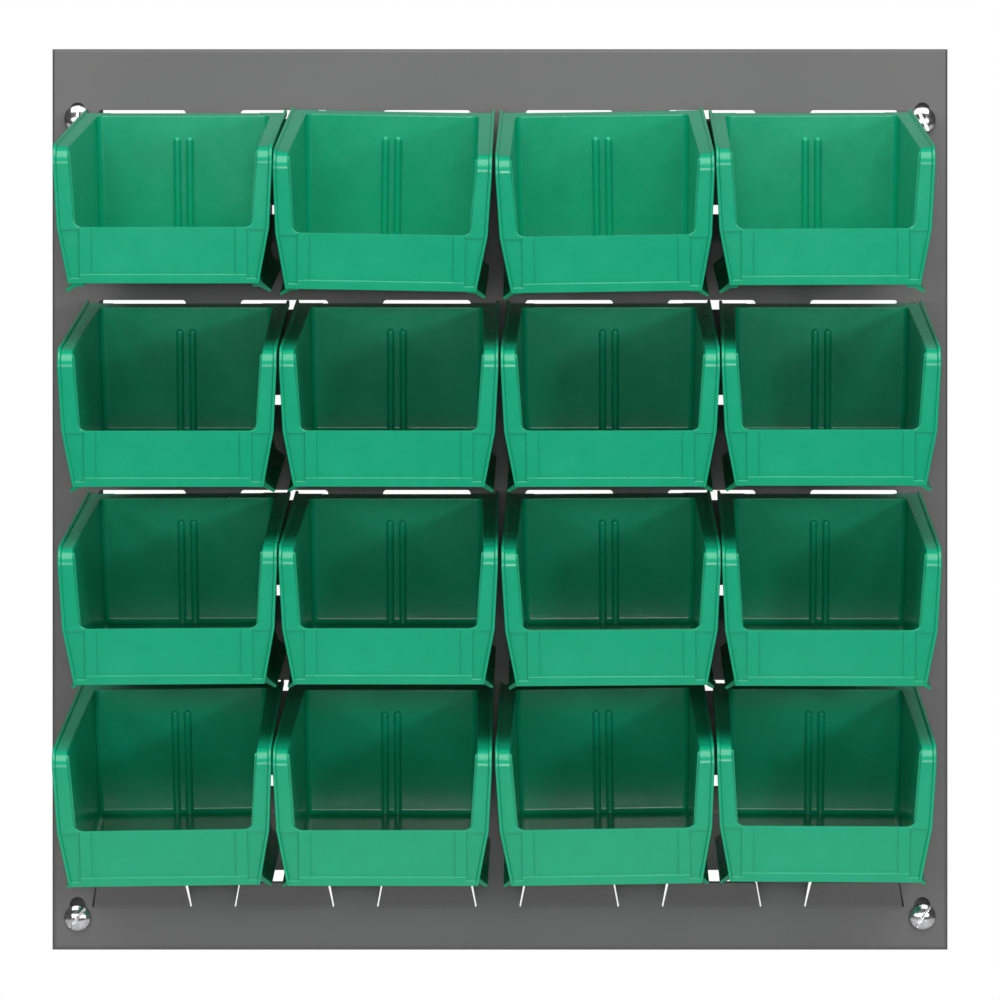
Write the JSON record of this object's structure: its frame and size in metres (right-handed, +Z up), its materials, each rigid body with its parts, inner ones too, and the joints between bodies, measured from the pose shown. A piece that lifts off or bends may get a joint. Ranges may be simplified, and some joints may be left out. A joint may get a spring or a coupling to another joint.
{
  "type": "louvred panel with hanging parts bins",
  "caption": "Louvred steel wall panel carrying open-front plastic parts bins that hook over its tabs and lift off, with screws through corner slots.",
  "frame": {"origin": "on the wall plane, on the panel's centre line, in the middle of the lower rear lip where it bears on the wall", "axes": "+X to the viewer's right along the panel, +Y into the wall, +Z up; the bins' open fronts face -Y"},
  "size_m": [0.4572, 0.213, 0.46],
  "materials": {
    "panel_steel": "fine textured grey powder coat, satin",
    "bin_plastic": "moulded green polypropylene, glossy with soft flow marks",
    "screw_metal": "bright zinc plated, polished head"
  },
  "bodies": {
    "wall_panel": {"louvred_panel": "panel_steel", "mounting_screw_top_left": "screw_metal", "mounting_screw_top_right": "screw_metal", "mounting_screw_bottom_left": "screw_metal", "mounting_screw_bottom_right": "screw_metal"},
    "bin_row1_col1": {"bin_row1_col1": "bin_plastic"},
    "bin_row1_col2": {"bin_row1_col2": "bin_plastic"},
    "bin_row1_col3": {"bin_row1_col3": "bin_plastic"},
    "bin_row1_col4": {"bin_row1_col4": "bin_plastic"},
    "bin_row2_col1": {"bin_row2_col1": "bin_plastic"},
    "bin_row2_col2": {"bin_row2_col2": "bin_plastic"},
    "bin_row2_col3": {"bin_row2_col3": "bin_plastic"},
    "bin_row2_col4": {"bin_row2_col4": "bin_plastic"},
    "bin_row3_col1": {"bin_row3_col1": "bin_plastic"},
    "bin_row3_col2": {"bin_row3_col2": "bin_plastic"},
    "bin_row3_col3": {"bin_row3_col3": "bin_plastic"},
    "bin_row3_col4": {"bin_row3_col4": "bin_plastic"},
    "bin_row4_col1": {"bin_row4_col1": "bin_plastic"},
    "bin_row4_col2": {"bin_row4_col2": "bin_plastic"},
    "bin_row4_col3": {"bin_row4_col3": "bin_plastic"},
    "bin_row4_col4": {"bin_row4_col4": "bin_plastic"}
  },
  "joints": [
    {"name": "lift_off_row1_col1", "type": "slide", "parent": "wall_panel", "child": "bin_row1_col1", "axis": [0, -0.7009, 0.7133], "range_m": [0, 0.018]},
    {"name": "lift_off_row1_col2", "type": "slide", "parent": "wall_panel", "child": "bin_row1_col2", "axis": [0, -0.7009, 0.7133], "range_m": [0, 0.018]},
    {"name": "lift_off_row1_col3", "type": "slide", "parent": "wall_panel", "child": "bin_row1_col3", "axis": [0, -0.7009, 0.7133], "range_m": [0, 0.018]},
    {"name": "lift_off_row1_col4", "type": "slide", "parent": "wall_panel", "child": "bin_row1_col4", "axis": [0, -0.7009, 0.7133], "range_m": [0, 0.018]},
    {"name": "lift_off_row2_col1", "type": "slide", "parent": "wall_panel", "child": "bin_row2_col1", "axis": [0, -0.7009, 0.7133], "range_m": [0, 0.018]},
    {"name": "lift_off_row2_col2", "type": "slide", "parent": "wall_panel", "child": "bin_row2_col2", "axis": [0, -0.7009, 0.7133], "range_m": [0, 0.018]},
    {"name": "lift_off_row2_col3", "type": "slide", "parent": "wall_panel", "child": "bin_row2_col3", "axis": [0, -0.7009, 0.7133], "range_m": [0, 0.018]},
    {"name": "lift_off_row2_col4", "type": "slide", "parent": "wall_panel", "child": "bin_row2_col4", "axis": [0, -0.7009, 0.7133], "range_m": [0, 0.018]},
    {"name": "lift_off_row3_col1", "type": "slide", "parent": "wall_panel", "child": "bin_row3_col1", "axis": [0, -0.7009, 0.7133], "range_m": [0, 0.018]},
    {"name": "lift_off_row3_col2", "type": "slide", "parent": "wall_panel", "child": "bin_row3_col2", "axis": [0, -0.7009, 0.7133], "range_m": [0, 0.018]},
    {"name": "lift_off_row3_col3", "type": "slide", "parent": "wall_panel", "child": "bin_row3_col3", "axis": [0, -0.7009, 0.7133], "range_m": [0, 0.018]},
    {"name": "lift_off_row3_col4", "type": "slide", "parent": "wall_panel", "child": "bin_row3_col4", "axis": [0, -0.7009, 0.7133], "range_m": [0, 0.018]},
    {"name": "lift_off_row4_col1", "type": "slide", "parent": "wall_panel", "child": "bin_row4_col1", "axis": [0, -0.7009, 0.7133], "range_m": [0, 0.018]},
    {"name": "lift_off_row4_col2", "type": "slide", "parent": "wall_panel", "child": "bin_row4_col2", "axis": [0, -0.7009, 0.7133], "range_m": [0, 0.018]},
    {"name": "lift_off_row4_col3", "type": "slide", "parent": "wall_panel", "child": "bin_row4_col3", "axis": [0, -0.7009, 0.7133], "range_m": [0, 0.018]},
    {"name": "lift_off_row4_col4", "type": "slide", "parent": "wall_panel", "child": "bin_row4_col4", "axis": [0, -0.7009, 0.7133], "range_m": [0, 0.018]}
  ]
}
